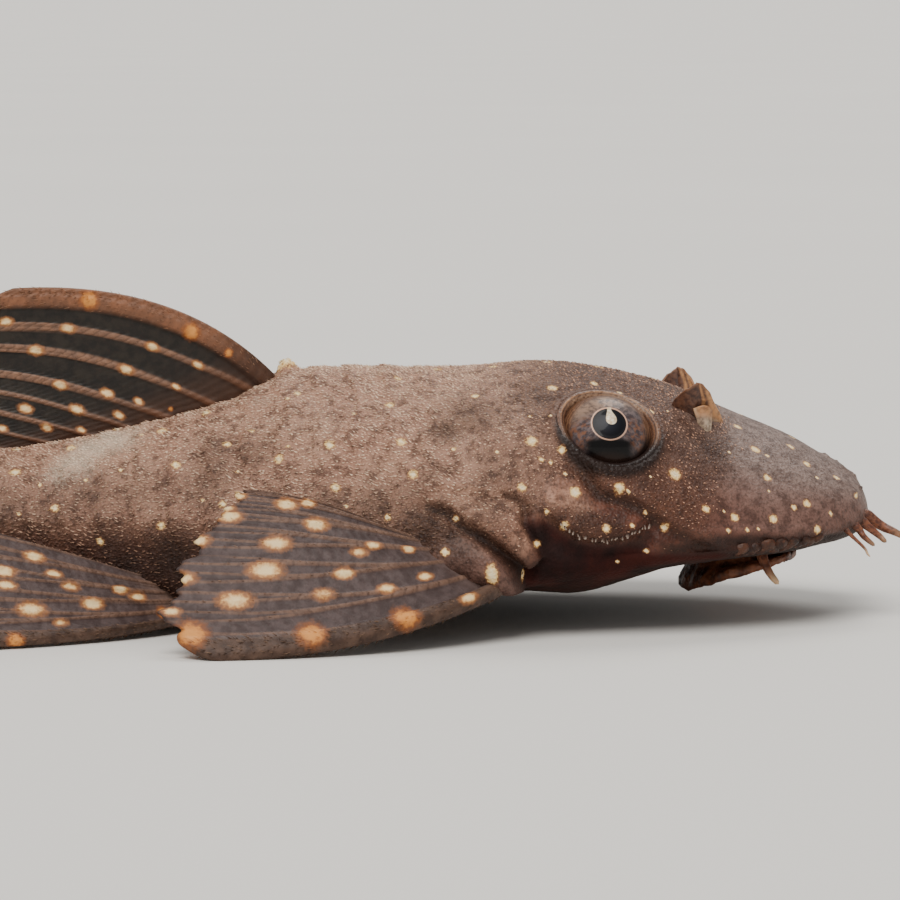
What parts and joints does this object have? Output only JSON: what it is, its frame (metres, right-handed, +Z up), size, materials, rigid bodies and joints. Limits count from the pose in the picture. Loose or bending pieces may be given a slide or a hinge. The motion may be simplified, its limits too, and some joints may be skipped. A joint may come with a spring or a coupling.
{
  "type": "bristlenose pleco, still life-size fish model",
  "caption": "Still life-size model of a bristlenose pleco lying on the floor on its belly and spread paired fins, its tail swung to one side.",
  "frame": {"origin": "on the floor, at the centre of the flat under the belly, on the body's plane of symmetry ahead of the tail's swing", "axes": "+X from the belly to the snout, +Y to the fish's left, +Z up from the floor"},
  "size_m": [0.0992, 0.0376, 0.0195],
  "materials": {
    "skin": "velvety brown skin over bony plates, with pale gold spots",
    "lips": "smooth moist dark red-brown",
    "eye": "wet and glossy",
    "fin": "thin grey-brown web on brown rays with pale spots"
  },
  "bodies": {
    "root": {"head": "skin", "torso": "skin", "tail": "skin", "eye_left": "eye", "eye_right": "eye", "mouth_disc": "lips", "barbel_left": "lips", "barbel_right": "lips", "nostril_flap_left": "skin", "nostril_flap_right": "skin", "dorsal_fin": "fin", "adipose_fin": "fin", "caudal_fin": "fin", "anal_fin": "fin", "pectoral_fin_left": "fin", "pectoral_fin_right": "fin", "pelvic_fin_left": "fin", "pelvic_fin_right": "fin"}
  },
  "joints": []
}
